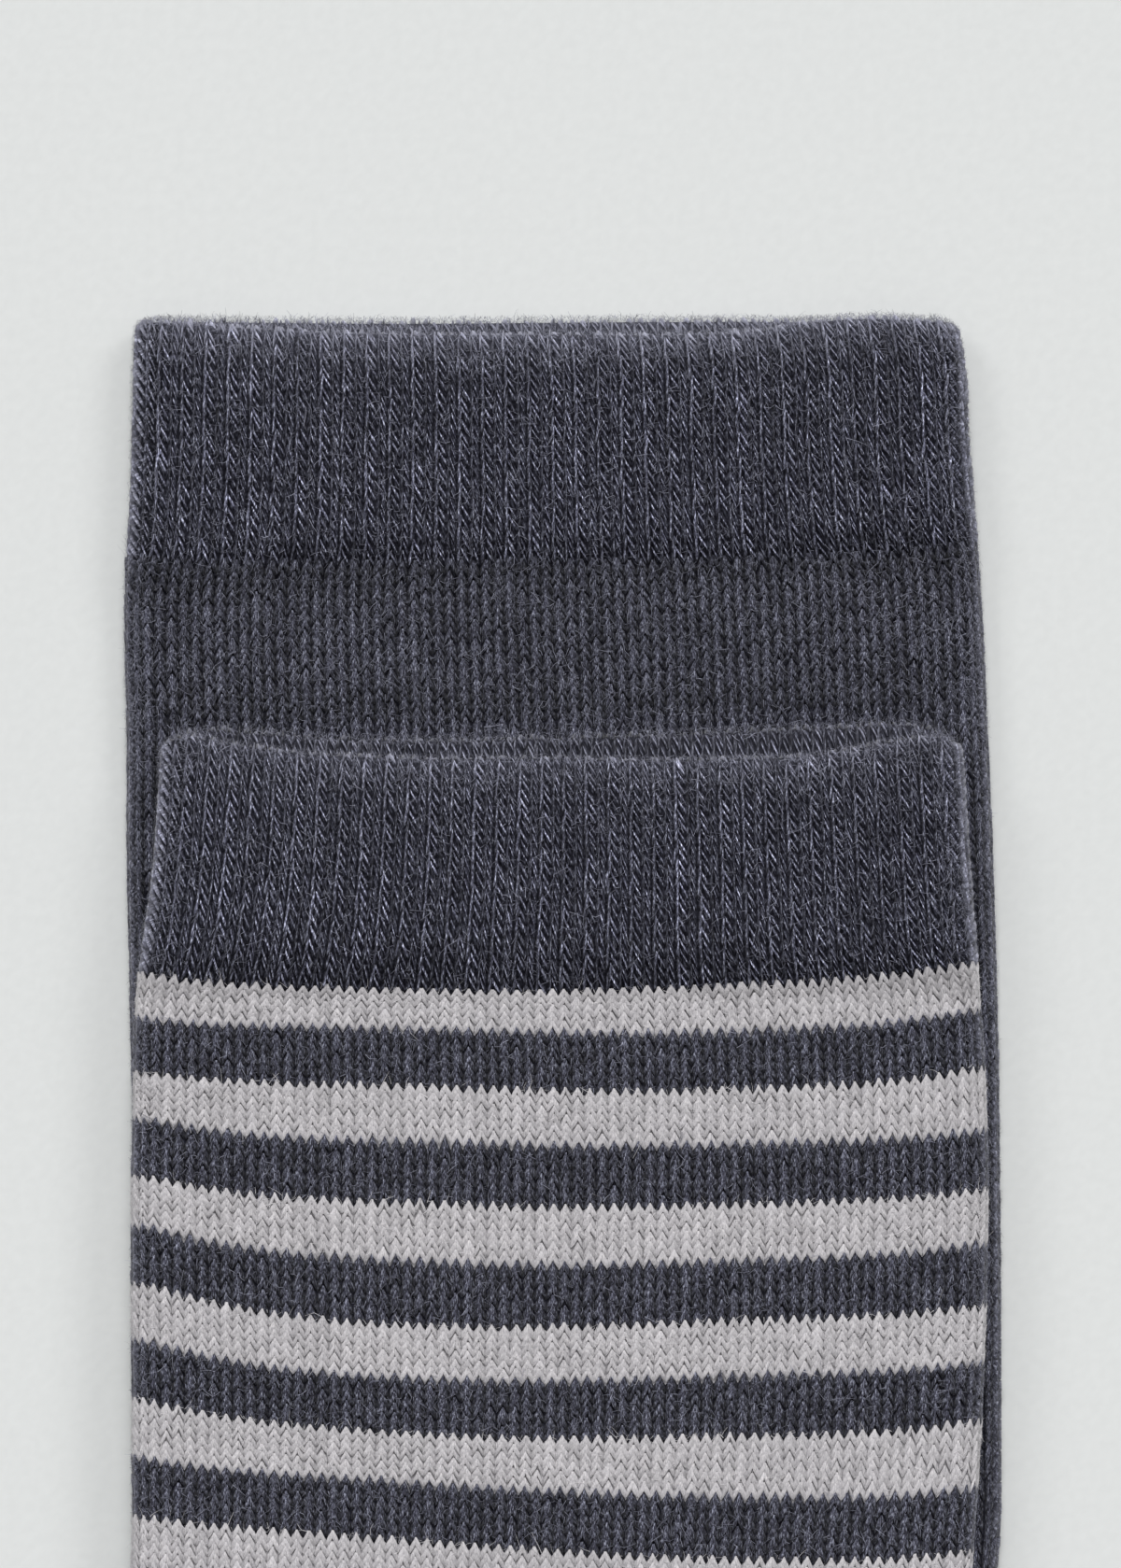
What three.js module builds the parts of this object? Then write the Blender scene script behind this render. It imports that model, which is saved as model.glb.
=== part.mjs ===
// A pair of knitted crew socks, laid flat one on the other: a plain sock below and a striped sock above.
// Each sock is one knitted tube: a doubled cuff with fine ribs, a leg, a heel pocket, a foot and a
// closed toe. Millimetres, +Z up. The socks lie on the plane Z = 0 with their cuffs towards +Y, their
// heels towards +X and their toes towards -X. The origin is the bottom centre of the pair.

import * as THREE from "three";

// Cloth
const LEG_WALL = 1.25; // thickness of the single knitted wall
const CUFF_WALL = 2.1; // thickness of the doubled wall of the cuff
const INNER_GAP = 1.05; // height left between the inner faces of a sock that lies flat
const CUFF_LENGTH = 25.5; // mouth to the line where the doubled wall ends
const CUFF_STEP = 2.5; // length over which the thickness goes from doubled to single
const CLEARANCE = 0.3; // gap between the lower sock and the upper one
const RELIEF_EDGE = 4; // power by which folds and the seam die out towards the folded sides
const PRESS_LENGTH = 7; // length over which the lower sock's folds are pressed out

// Ribs of the cuff, one for every two columns of stitches
const RIB_DEPTH = 0.2;
const RIB_FADE = 4; // length over which the ribs run out at the cuff's end

// Main lengths along the middle of the tube, measured from the mouth
const LEG_LENGTH = 140;
const ANKLE_LENGTH = 70;
const FOOT_LENGTH = 127; // end of the ankle's bend to the start of the toe's curve
const TOE_LENGTH = 48;
const ANKLE_TURN = 50; // degrees between the leg and the foot
const TOE_START = LEG_LENGTH + ANKLE_LENGTH + FOOT_LENGTH;
const TOE_EDGE = 5; // length over which the two faces close at the toe's tip
const TOE_TIP = 0.25; // where the last ring stands before the tip

// Toe seam, a low ridge over the instep half
const SEAM_BEFORE_TIP = 34;
const SEAM_WIDTH = 2.8;
const SEAM_ROOM = 4.5; // no other section stands nearer to the seam than this
const SEAM_HEIGHT = 0.7;
const SEAM_FADE = 4; // half the length over which its inner end runs out

// Drape of the upper sock over the lower sock's edge, as distances outside that edge
const DRAPE_STARTS = 6.5;
const DRAPE_ENDS = 20;

// How far down the cuff the waves of the mouth's edge reach
const MOUTH_REACH = 22;

// Points round a section: across the top, round each folded side, across the bottom
const RIBBED = { top: 66, side: 6, bottom: 10 };
const OUTER = { top: 12, side: 4, bottom: 8 };
const INNER = { top: 7, side: 3, bottom: 5 };

// Steps between sections
const LEG_STEPS = 14;
const ANKLE_STEPS = 10;
const FOOT_STEPS = 10;
const TOE_STEPS = 6;
const RIM_STEPS = 4;
const CUFF_SECTIONS = [4.5, 9, 14, 19, CUFF_LENGTH - RIB_FADE];
const FULL_SIZE = { width: 1, height: 1 }; // scale of every section before the toe

// Half widths of the ankle and foot, to the instep side (front) and to the heel side (back), at
// places past the leg's end
const ANKLE_AND_FOOT = [
  { past: -12, front: 45.8, back: 46.4 },
  { past: 0, front: 45.6, back: 46.6 },
  { past: 13, front: 45.2, back: 50.5 },
  { past: 25, front: 44.4, back: 57.5 },
  { past: 37, front: 43.8, back: 60.5 },
  { past: 50, front: 43.6, back: 56.5 },
  { past: 65, front: 43.6, back: 47.5 },
  { past: 87, front: 43.2, back: 42.4 },
  { past: 130, front: 42.6, back: 41.4 },
  { past: 170, front: 42.6, back: 42.2 },
  { past: 197, front: 42.6, back: 42.6 },
].map(({ past, front, back }) => ({ along: LEG_LENGTH + past, front, back }));

// The two socks. The mouth is the middle of the cuff's edge and the heading is in degrees from -Y
// towards -X. Widths are half widths of the leg. A mouth row says how far the edge of the back wall
// and of the front wall stands below the mouth's line. A fold is a soft ridge, or a trough where its
// height is below 0.
const PLAIN = {
  name: "plain_sock",
  colour: 0x46474f,
  mouth: { x: -1.5, y: 49.95 },
  heading: 0,
  spine: [
    { length: 15, turn: -1.5 },
    { length: 45, turn: 0 },
    { length: LEG_LENGTH - 60, turn: 1.4 },
    { length: ANKLE_LENGTH, turn: ANKLE_TURN },
    { length: FOOT_LENGTH + TOE_LENGTH, turn: 0 },
  ],
  widths: [
    { along: 0, front: 44.2, back: 44.1 },
    { along: 6, front: 44.5, back: 45.0 },
    { along: 12, front: 44.7, back: 45.1 },
    { along: 18, front: 45.1, back: 45.4 },
    { along: 30, front: 45.9, back: 46.0 },
    { along: 42, front: 46.0, back: 46.3 },
    { along: 62, front: 46.4, back: 46.6 },
    { along: 95, front: 46.2, back: 46.6 },
    ...ANKLE_AND_FOOT,
  ],
  mouthEdge: [
    { across: -1, back: 0.4, front: 0.5 },
    { across: -0.96, back: 0.1, front: 0.3 },
    { across: -0.7, back: 0.1, front: 1.0 },
    { across: -0.4, back: 0.2, front: 1.5 },
    { across: 0, back: 0.1, front: 1.6 },
    { across: 0.5, back: 0, front: 1.4 },
    { across: 0.68, back: 0.1, front: 0.2 },
    { across: 0.95, back: 0.2, front: 0.2 },
    { across: 1, back: 0.8, front: 0.8 },
  ],
  folds: [
    { along: 37, across: -8, heading: 70, length: 16, width: 4, height: -0.4 },
    { along: 33, across: 22, heading: 84, length: 18, width: 5, height: 0.3 },
    { along: 12, across: -24, heading: 20, length: 12, width: 9, height: 0.25 },
    { along: 38, across: 19, heading: 86, length: 26, width: 4, height: -0.4 },
  ],
  coveredFrom: 43, // from here on the upper sock lies on this one, which is pressed flat
  seamEnd: -31, // where the toe seam goes under the upper sock
};

const STRIPED = {
  name: "striped_sock",
  colour: 0x7c7c83,
  mouth: { x: 0.2, y: 5.5 },
  heading: 0.1,
  spine: [
    { length: 38, turn: 0 },
    { length: LEG_LENGTH - 38, turn: 4.2 },
    { length: ANKLE_LENGTH, turn: ANKLE_TURN },
    { length: FOOT_LENGTH + TOE_LENGTH, turn: 0 },
  ],
  widths: [
    { along: 0, front: 42.9, back: 42.7 },
    { along: 8, front: 43.4, back: 43.2 },
    { along: 17, front: 44.1, back: 43.8 },
    { along: 27, front: 45.4, back: 44.6 },
    { along: 40, front: 45.8, back: 45.4 },
    { along: 55, front: 45.9, back: 45.6 },
    { along: 76, front: 45.4, back: 45.3 },
    { along: 95, front: 45.0, back: 44.9 },
    ...ANKLE_AND_FOOT,
  ],
  mouthEdge: [
    { across: -1, back: 1.0, front: 1.0 },
    { across: -0.95, back: -0.6, front: 0.6 },
    { across: -0.8, back: -0.6, front: 1.6 },
    { across: -0.5, back: 0.1, front: 2.7 },
    { across: -0.1, back: 0, front: 2.8 },
    { across: 0.5, back: -0.9, front: 2.8 },
    { across: 0.72, back: -1.3, front: 1.9 },
    { across: 0.94, back: -1.2, front: 0.4 },
    { across: 1, back: 1.0, front: 1.0 },
  ],
  folds: [
    { along: 82, across: -4, heading: 55, length: 17, width: 6, height: 0.5 },
    { along: 92, across: 4, heading: 62, length: 15, width: 5, height: -0.35 },
    { along: 157, across: -26, heading: 78, length: 16, width: 5, height: -0.4 },
    { along: 172, across: -25, heading: 90, length: 17, width: 5, height: 0.45 },
    { along: 186, across: -27, heading: 102, length: 14, width: 4.5, height: -0.35 },
    { along: 178, across: 34, heading: 80, length: 18, width: 13, height: 0.9 },
    { along: 247, across: 6, heading: 66, length: 22, width: 6, height: 0.4 },
    { along: 315, across: -6, heading: 8, length: 20, width: 8, height: 0.35 },
  ],
  coveredFrom: Infinity,
  seamEnd: 0,
};

const radians = THREE.MathUtils.degToRad;
const { clamp, lerp, smoothstep } = THREE.MathUtils;

// Reads a column of a table at a place, on a smooth curve through its rows
function readTable(rows, key, column, place) {
  let next = rows.findIndex((row) => row[key] > place);
  if (next < 0) next = rows.length - 1;
  next = Math.max(next, 1);
  const slope = (i) => {
    const before = rows[Math.max(i - 1, 0)];
    const after = rows[Math.min(i + 1, rows.length - 1)];
    return (after[column] - before[column]) / (after[key] - before[key]);
  };
  const from = rows[next - 1];
  const to = rows[next];
  const span = to[key] - from[key];
  const t = clamp((place - from[key]) / span, 0, 1);
  const start = from[column] + slope(next - 1) * span * t;
  const end = to[column] - slope(next) * span * (1 - t);
  return lerp(start, end, t * t * (3 - 2 * t));
}

// The middle of the tube and its heading, at a length from the mouth, as a chain of arcs
function spineAt(sock, along) {
  let { x, y } = sock.mouth;
  let heading = radians(sock.heading);
  let left = along;
  for (const { length, turn } of sock.spine) {
    const part = left < 0 ? left : Math.min(left, length);
    const bend = (radians(turn) * part) / length;
    const chord = bend === 0 ? part : (2 * Math.sin(bend / 2) * part) / bend;
    x -= chord * Math.sin(heading + bend / 2);
    y -= chord * Math.cos(heading + bend / 2);
    heading += bend;
    left -= part;
  }
  return { x, y, heading };
}

// A place on the sock as plan coordinates: a length from the mouth and a distance across the tube
function planPoint(sock, along, across) {
  const { x, y, heading } = spineAt(sock, along);
  return new THREE.Vector2(x + across * Math.cos(heading), y - across * Math.sin(heading));
}

// Thickness of the wall: doubled in the cuff and single beyond it
function wallAt(along) {
  return lerp(CUFF_WALL, LEG_WALL, smoothstep(along, CUFF_LENGTH, CUFF_LENGTH + CUFF_STEP));
}

// Height of the soft ridges and troughs of the upper face
function reliefAt(sock, along, across) {
  let height = 0;
  for (const fold of sock.folds) {
    const heading = radians(fold.heading);
    const down = along - fold.along;
    const aside = across - fold.across;
    const lengthwise = down * Math.cos(heading) + aside * Math.sin(heading);
    const crosswise = aside * Math.cos(heading) - down * Math.sin(heading);
    const spread = (lengthwise / fold.length) ** 2 + (crosswise / fold.width) ** 2;
    height += fold.height * Math.exp(-spread);
  }
  const uncovered = 1 - smoothstep(along, sock.coveredFrom - PRESS_LENGTH, sock.coveredFrom);
  return height * uncovered;
}

// The seam's ridge, from the instep's folded side to the seam's end
function toeSeamAt(sock, along, across) {
  const offset = Math.abs(along - (TOE_START + TOE_LENGTH - SEAM_BEFORE_TIP));
  const runOut = 1 - smoothstep(across, sock.seamEnd - SEAM_FADE, sock.seamEnd + SEAM_FADE);
  return SEAM_HEIGHT * Math.max(0, 1 - offset / SEAM_WIDTH) * runOut;
}

// One closed section round the tube, at a depth below the outer face. The turn goes 0 to 1 over the
// top from the instep side to the heel side, 1 to 2 round the heel side, 2 to 3 back under the bottom
// and 3 to 4 up round the instep side. closeIn scales the section down towards the toe's tip.
function makeSection(sock, section, groundAt) {
  const { along, depth, counts, ribs = 0, closeIn = FULL_SIZE } = section;
  const middle = wallAt(along) + INNER_GAP / 2;
  const half = (middle - depth) * closeIn.height;
  const front = (readTable(sock.widths, "along", "front", along) - depth) * closeIn.width;
  const back = (readTable(sock.widths, "along", "back", along) - depth) * closeIn.width;
  const turns = [
    ...sectionTurns(0, counts.top),
    ...sectionTurns(1, counts.side),
    ...sectionTurns(2, counts.bottom),
    ...sectionTurns(3, counts.side),
  ];
  return turns.map((turn, index) => {
    const rib = index % 2 === 1 ? ribs * RIB_DEPTH : 0;
    const { across, rise } = stadiumPoint(front, back, half - rib, turn);
    const lift = clamp((rise / half + 1) / 2, 0, 1);
    const side = clamp(across < 0 ? across / front : across / back, -1, 1);
    const place = planPoint(sock, along + mouthShift(sock, along, side, lift), across);
    const relief = reliefAt(sock, along, across) + (depth === 0 ? toeSeamAt(sock, along, across) : 0);
    const bottomRib = rise < 0 ? -rib : 0; // the underside stays flat
    const z = groundAt(place) + middle + rise + bottomRib + lift * relief * (1 - side ** RELIEF_EDGE);
    return { turn, point: new THREE.Vector3(place.x, place.y, z) };
  });
}

function sectionTurns(start, count) {
  return Array.from({ length: count }, (_, i) => start + i / count);
}

// A point of a flat section with half-round sides, by its turn
function stadiumPoint(front, back, half, turn) {
  const part = turn % 1;
  const outward = half * Math.sin(Math.PI * part);
  const upward = half * Math.cos(Math.PI * part);
  if (turn < 1) return { across: lerp(half - front, back - half, part), rise: half };
  if (turn < 2) return { across: back - half + outward, rise: upward };
  if (turn < 3) return { across: lerp(back - half, half - front, part), rise: -half };
  return { across: half - front - outward, rise: -upward };
}

// How far a point near the mouth stands below the mouth's line, between the back wall's row of the
// table and the front wall's
function mouthShift(sock, along, across, lift) {
  const reach = Math.max(0, 1 - along / MOUTH_REACH) ** 2;
  const back = readTable(sock.mouthEdge, "across", "back", across);
  const front = readTable(sock.mouthEdge, "across", "front", across);
  return reach * lerp(back, front, lift);
}

// Sections of one face of the wall from the mouth to the toe, below the rim's rounding
function faceSections(depth, counts) {
  const footStart = LEG_LENGTH + ANKLE_LENGTH;
  const span = (start, end, steps) => Array.from({ length: steps }, (_, i) => {
    return { along: lerp(start, end, i / steps), depth, counts };
  });
  return [
    ...span(CUFF_LENGTH + CUFF_STEP, LEG_LENGTH, LEG_STEPS),
    ...span(LEG_LENGTH, footStart, ANKLE_STEPS),
    ...span(footStart, TOE_START, FOOT_STEPS),
    ...toeSections(depth, counts),
  ];
}

// Sections of the toe, whose outline is half an ellipse and whose faces close at the tip
function toeSections(depth, counts) {
  const seam = TOE_LENGTH - SEAM_BEFORE_TIP;
  const alongArc = Array.from({ length: TOE_STEPS }, (_, i) => {
    return TOE_LENGTH * Math.sin((Math.PI * i) / (2 * TOE_STEPS));
  });
  const places = alongArc.filter((place) => Math.abs(place - seam) > SEAM_ROOM);
  places.push(seam - SEAM_WIDTH, seam, seam + SEAM_WIDTH);
  places.push(TOE_LENGTH - TOE_EDGE / 3, TOE_LENGTH - TOE_TIP);
  places.sort((a, b) => a - b);
  const shrink = (TOE_LENGTH - depth) / TOE_LENGTH;
  return places.map((place) => {
    const fromTip = Math.min(1, (TOE_LENGTH - place) / TOE_EDGE);
    const closeIn = {
      width: Math.sqrt(1 - (place / TOE_LENGTH) ** 2),
      height: Math.sqrt(1 - (1 - fromTip) ** 2),
    };
    return { along: TOE_START + place * shrink, depth, counts, closeIn };
  });
}

// Sections round the rim of the mouth, from the outer face over the edge to the inner face
function rimSections() {
  const radius = CUFF_WALL / 2;
  return Array.from({ length: RIM_STEPS + 1 }, (_, i) => {
    const angle = (Math.PI * i) / RIM_STEPS;
    const outside = i < RIM_STEPS / 2;
    return {
      along: radius * (1 - Math.sin(angle)),
      depth: radius * (1 - Math.cos(angle)),
      counts: outside ? RIBBED : INNER,
      ribs: outside ? Math.cos(angle) : 0,
    };
  });
}

// All sections of a sock in order: outer face from toe to mouth, rim, inner face from mouth to toe
function sockSections() {
  const outerCuff = CUFF_SECTIONS.map((along) => ({ along, depth: 0, counts: RIBBED, ribs: 1 }));
  outerCuff.push({ along: CUFF_LENGTH, depth: 0, counts: OUTER });
  const innerCuff = [CUFF_SECTIONS[1], CUFF_SECTIONS[3], CUFF_LENGTH].map((along) => {
    return { along, depth: CUFF_WALL, counts: INNER };
  });
  return [
    ...faceSections(0, OUTER).reverse(),
    ...outerCuff.reverse(),
    ...rimSections(),
    ...innerCuff,
    ...faceSections(LEG_WALL, INNER),
  ];
}

// Joins two neighbouring sections, which may have different numbers of points, with triangles
function joinSections(triangles, section, next) {
  const turnAfter = (ring, i) => (i + 1 < ring.length ? ring[i + 1].turn : 4);
  let i = 0;
  let j = 0;
  while (i < section.length || j < next.length) {
    const a = section[i % section.length].point;
    const b = next[j % next.length].point;
    const sectionIsBehind = i < section.length && turnAfter(section, i) <= turnAfter(next, j);
    if (j >= next.length || sectionIsBehind) {
      triangles.push(a, section[(i + 1) % section.length].point, b);
      i += 1;
    } else {
      triangles.push(a, next[(j + 1) % next.length].point, b);
      j += 1;
    }
  }
}

// Closes a section onto one point
function closeSection(triangles, section, tip, facingBack) {
  section.forEach(({ point }, i) => {
    const following = section[(i + 1) % section.length].point;
    triangles.push(...(facingBack ? [following, point, tip] : [point, following, tip]));
  });
}

function averagePoint(section) {
  const sum = section.reduce((total, { point }) => total.add(point), new THREE.Vector3());
  return sum.divideScalar(section.length);
}

// The tip of one face at the toe, level with the middle of its last section
function tipPoint(sock, section, depth) {
  const place = planPoint(sock, TOE_START + TOE_LENGTH - depth, 0);
  return new THREE.Vector3(place.x, place.y, averagePoint(section).z);
}

function makeSock(sock, groundAt) {
  const sections = sockSections().map((section) => makeSection(sock, section, groundAt));
  const first = sections[0];
  const last = sections[sections.length - 1];
  const triangles = [];
  closeSection(triangles, first, tipPoint(sock, first, 0), true);
  for (let i = 0; i + 1 < sections.length; i += 1) {
    joinSections(triangles, sections[i], sections[i + 1]);
  }
  closeSection(triangles, last, tipPoint(sock, last, LEG_WALL), false);
  const geometry = new THREE.BufferGeometry().setFromPoints(triangles);
  geometry.computeVertexNormals();
  const material = new THREE.MeshStandardMaterial({ color: sock.colour, roughness: 0.95, metalness: 0 });
  const mesh = new THREE.Mesh(geometry, material);
  mesh.name = sock.name;
  return mesh;
}

// The plan outline of a sock, down its instep side and back up its heel side
function planOutline(sock) {
  const outer = [{ along: 0, depth: 0, counts: OUTER }, ...faceSections(0, OUTER)];
  const side = (column, sign) => outer.map(({ along, closeIn = FULL_SIZE }) => {
    return planPoint(sock, along, sign * closeIn.width * readTable(sock.widths, "along", column, along));
  });
  return [...side("front", -1), ...side("back", 1).reverse()];
}

// How far a plan point lies outside an outline; 0 inside it
function distanceOutside(outline, point) {
  let inside = false;
  let nearest = Infinity;
  outline.forEach((a, i) => {
    const b = outline[(i + 1) % outline.length];
    const edge = b.clone().sub(a);
    const t = clamp(point.clone().sub(a).dot(edge) / edge.lengthSq(), 0, 1);
    nearest = Math.min(nearest, point.distanceTo(a.clone().addScaledVector(edge, t)));
    const crosses = a.y > point.y !== b.y > point.y;
    if (crosses && point.x < a.x + ((point.y - a.y) / (b.y - a.y)) * (b.x - a.x)) inside = !inside;
  });
  return inside ? 0 : nearest;
}

// The surface that the upper sock lies on: the lower sock's upper face, falling to the plane past it
function makeGround(lower) {
  const outline = planOutline(lower);
  const top = 2 * LEG_WALL + INNER_GAP + CLEARANCE;
  return (point) => top * (1 - smoothstep(distanceOutside(outline, point), DRAPE_STARTS, DRAPE_ENDS));
}

const socks = new THREE.Group();
socks.add(makeSock(PLAIN, () => 0));
socks.add(makeSock(STRIPED, makeGround(PLAIN)));

// Brings the bottom centre of the pair's box to the origin
const box = new THREE.Box3().setFromObject(socks);
const centre = box.getCenter(new THREE.Vector3());
socks.position.set(-centre.x, -centre.y, -box.min.z);

const pair = new THREE.Group();
pair.add(socks);

export default pair;
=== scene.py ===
import math
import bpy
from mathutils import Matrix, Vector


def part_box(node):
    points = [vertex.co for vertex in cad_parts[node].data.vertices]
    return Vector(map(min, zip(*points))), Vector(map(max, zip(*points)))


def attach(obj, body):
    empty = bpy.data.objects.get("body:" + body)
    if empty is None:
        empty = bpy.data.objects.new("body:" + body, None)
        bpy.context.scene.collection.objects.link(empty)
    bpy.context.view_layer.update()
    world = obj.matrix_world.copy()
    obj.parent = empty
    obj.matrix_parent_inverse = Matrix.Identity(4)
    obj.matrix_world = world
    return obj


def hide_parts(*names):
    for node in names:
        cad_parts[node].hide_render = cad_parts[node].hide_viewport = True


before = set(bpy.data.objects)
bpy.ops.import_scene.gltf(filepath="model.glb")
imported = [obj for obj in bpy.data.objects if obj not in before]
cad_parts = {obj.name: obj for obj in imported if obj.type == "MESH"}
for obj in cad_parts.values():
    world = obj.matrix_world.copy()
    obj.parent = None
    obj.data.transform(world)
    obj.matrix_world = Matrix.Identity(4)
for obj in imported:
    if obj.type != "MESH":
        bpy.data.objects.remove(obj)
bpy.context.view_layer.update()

from types import SimpleNamespace

import bpy
import numpy as np

# Sizes are in millimetres unless a note says otherwise; meshes are written in metres
MM = 0.001

# Cloth, as in the solids, apart from the cuff's step
LEG_WALL = 1.25
CUFF_WALL = 2.1
INNER_GAP = 1.05
CUFF_LENGTH = 25.5
CUFF_STEP = 7  # length over which the cuff eases into the leg, longer than in the solids
CLEARANCE = 0.3  # gap between the lower sock and the upper one
RELIEF_EDGE = 4  # power by which folds and the seam die out towards the folded sides
PRESS_LENGTH = 7  # length over which the lower sock's folds are pressed out

# Lengths along the middle of the tube, as in the solids
LEG_LENGTH = 140
ANKLE_LENGTH = 70
FOOT_LENGTH = 127
TOE_LENGTH = 48
ANKLE_TURN = 50
TOE_START = LEG_LENGTH + ANKLE_LENGTH + FOOT_LENGTH
SOCK_LENGTH = TOE_START + TOE_LENGTH
TOE_EDGE = 5
TOE_TIP = 0.25
SEAM_BEFORE_TIP = 34
SEAM_PLACE = SOCK_LENGTH - SEAM_BEFORE_TIP
SEAM_WIDTH = 2.8
SEAM_HEIGHT = 0.7
SEAM_FADE = 4
MOUTH_REACH = 22  # length over which the mouth's shape runs out

# Distances past the lower sock's edge between which the upper sock comes down, as in the solids
DRAPE_STARTS = 6.5
DRAPE_ENDS = 20

# Softness that the solids don't have
MOUTH_DROOP = 0.8  # how far the front wall sinks towards the back wall at the mouth
DROOP_LENGTH = 4
PRESS_DEPTH = 0.9  # how far the lower sock sinks along the upper sock's mouth
PRESS_REACH = 2.5
LOWEST = 0.03  # lowest place of a stitch or fibre above the floor

# Columns of stitches round the tube
FACE_COLUMNS = 68  # over a flat face
SIDE_COLUMNS = 5  # round a folded side
HALF_COLUMNS = FACE_COLUMNS + SIDE_COLUMNS
COLUMNS = 2 * HALF_COLUMNS
COLUMN_CORNERS = (0, FACE_COLUMNS, HALF_COLUMNS, COLUMNS - SIDE_COLUMNS, COLUMNS)
HEEL_COLUMN = FACE_COLUMNS / 2  # first column of the heel pocket
FOLD_COLUMNS = 3  # columns of stitches that go on round each fold
UPPER_COLUMNS = np.arange(-FOLD_COLUMNS, FACE_COLUMNS + FOLD_COLUMNS)
SIDE_SPAN = (-SIDE_COLUMNS, HALF_COLUMNS)  # columns of the face and both folded sides
COLUMN = 1.3  # width of a column
TOE_COLUMN = 1.25

# Rows of stitches, counted from the cuff's end
CUFF_ROWS = 22
CUFF_ROW = 1.25
LEG_ROWS = 110
ANKLE_ROWS = 56
HEEL_ROWS = 93  # rows of the heel pocket, beside those of the ankle
TOE_ROW = 302
LAST_ROW = 335
TIP_ROWS = 2  # last rows of the toe, where its faces close
PHOTO_ROWS = 82  # rows below the cuff that the photo shows
COARSE_ROW = LEG_ROWS + ANKLE_ROWS + 25  # where the striped sock's ankle piece ends
MOUTH_ROW = 22  # row of the lower sock where the upper sock's mouth lies
RIM_ROWS = 3  # rows on either side of the rim's crest in its rounding
INNER_ROWS = 5  # rows of stitches inside the mouth
ROW = 1.04
STRIPE_ROWS = 6
FIRST_STRIPE_ROWS = 5
SIDE_CURL = 0.6  # how far the rows turn up at the folded sides
RIM_TURN = CUFF_WALL / 2 * (math.pi / 2 - 1)  # cloth that the rim's rounding takes up

# Unevenness of the rows, which starts and is full at these lengths from the mouth
ROW_WAVE = 0.15
ROW_WAVE_LENGTH = 30
ROW_WAVE_STARTS = 3
ROW_WAVE_FULL = 12

# Steps of the backing cloth's mesh
BACKING_DEPTH = 0.35  # how far the backing cloth lies below the outer face
FACE_STEPS = 50
SIDE_STEPS = 10
TOE_STEPS = 26
RIM_STEPS = 24
INNER_STEP = 6.6

# Relief of the stitches
FLANK_HEIGHT = -BACKING_DEPTH - 0.1  # height of the sides of a stitch's legs
RIDGE_HEIGHT = 0.15  # height of the ridge that the legs make where they run together
RIDGE_GROOVE = 0.06  # depth of the groove between legs that run together
BOLD_RISE = 0.2  # how much higher a column stands for each unit of boldness

# The mock rib: boldness of its columns, and how far a weak one's rows lie below a strong one's
STRONG_RIB = 1.1
WEAK_RIB = 0.72
INNER_RIB = 0.95
RIB_SHIFT = 0.45

# Looks of stitches in the cuff, in dark rows and in light rows. Shades multiply the yarn's colour: they are
# painted light and shade, with a leg's crest painted lighter and its sides, a column's edges and a leg's ends
# painted darker.
UNEVEN = (0.18, 0.08, 0.04)  # spread of the shades
DROP_SPREAD = (0.09, 0.09, 0.06)  # spread of a stitch's place along its column, in rows
LEAN_SPREAD = (0.055, 0.03, 0.03)  # spread of a leg's place across its column, in columns
MERGED = (0, 0.8, 0.68)  # how far a stitch's legs run together into one ridge
LEG_WIDTH = (0.64, 1, 1)
LEG_DEPTH = (1, 1, 0.3)  # depth of the gaps beside the legs
# Painted shade: the columns darker at their edges and the legs darker at their ends
EDGES_DARKEN = (0.1, 1, 0.15)  # how much darker the columns are at their edges
ENDS_DARKEN = (0.9, 0, 0)  # how much darker the legs are at their ends
# Painted light and shade across a leg: its crest lighter, its sides darker
CREST_SHADE = (3.2, 0.92, 1)
INNER_SHADE = (0.4, 0.72, 0.97)  # on a leg's side towards the other leg
OUTER_SHADE = (0.12, 0.2, 0.89)
# Painted light: one leg of a stitch lighter than the other, and the weak columns' legs darker
LEFT_SHADE = (0.85, 1.15, 1.03)
RIGHT_SHADE = (1.15, 0.85, 0.97)
WEAK_SHADES = (0.45, 1)  # of the left and right legs in the rib's weak columns

# In the cuff a left leg stands upright and a right leg leans more, about these places in the column
CUFF_SLANTS = ((0.22, 0.3), (0.74, 1.5))

# Variation of the stitches
COLUMN_STREAK = 0.6  # share of unevenness that a whole column has in common
SWELL_SPREAD = 0.15
RAISED_SPREAD = 0.03
INNER_SWELL = 0.4  # how much wider merged legs are towards each other
# Places from which the painted shade across a column and down a leg is measured
LIGHT_MIDDLE = 0.4  # share of a column's width past which its edges darken
LEG_MIDDLE = 0.6  # the lightest place down a leg, in rows
RIM_MIDDLE = 0.8  # rows from the mouth's first row up to the middle of the rim
RIM_REACH = 1.2
RIM_DROP = 0.3
RIM_RAISE = 0.1

# Haze of loose fibres and painted sheen that covers the stitches, most at the rim, the folded sides and
# inside the mouth
SIDE_FUZZ_AND_SHEEN = 0.42
SIDE_REACH = 1.3  # columns from a fold's middle over which its haze runs out
FUZZ_AND_SHEEN_VARIES = (0.4, 1.6)
# Under fuzz and painted sheen the stitches' painted shade is evened out towards this
FUZZ_AND_SHEEN_SHADE = 1.1  # the shade that haze brings the stitches towards
FUZZ_AND_SHEEN_DIMS = 0.8
FUZZ_AND_SHEEN_LIFTS = 0.4
BACKING_FUZZ_AND_SHEEN = 0.25

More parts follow.
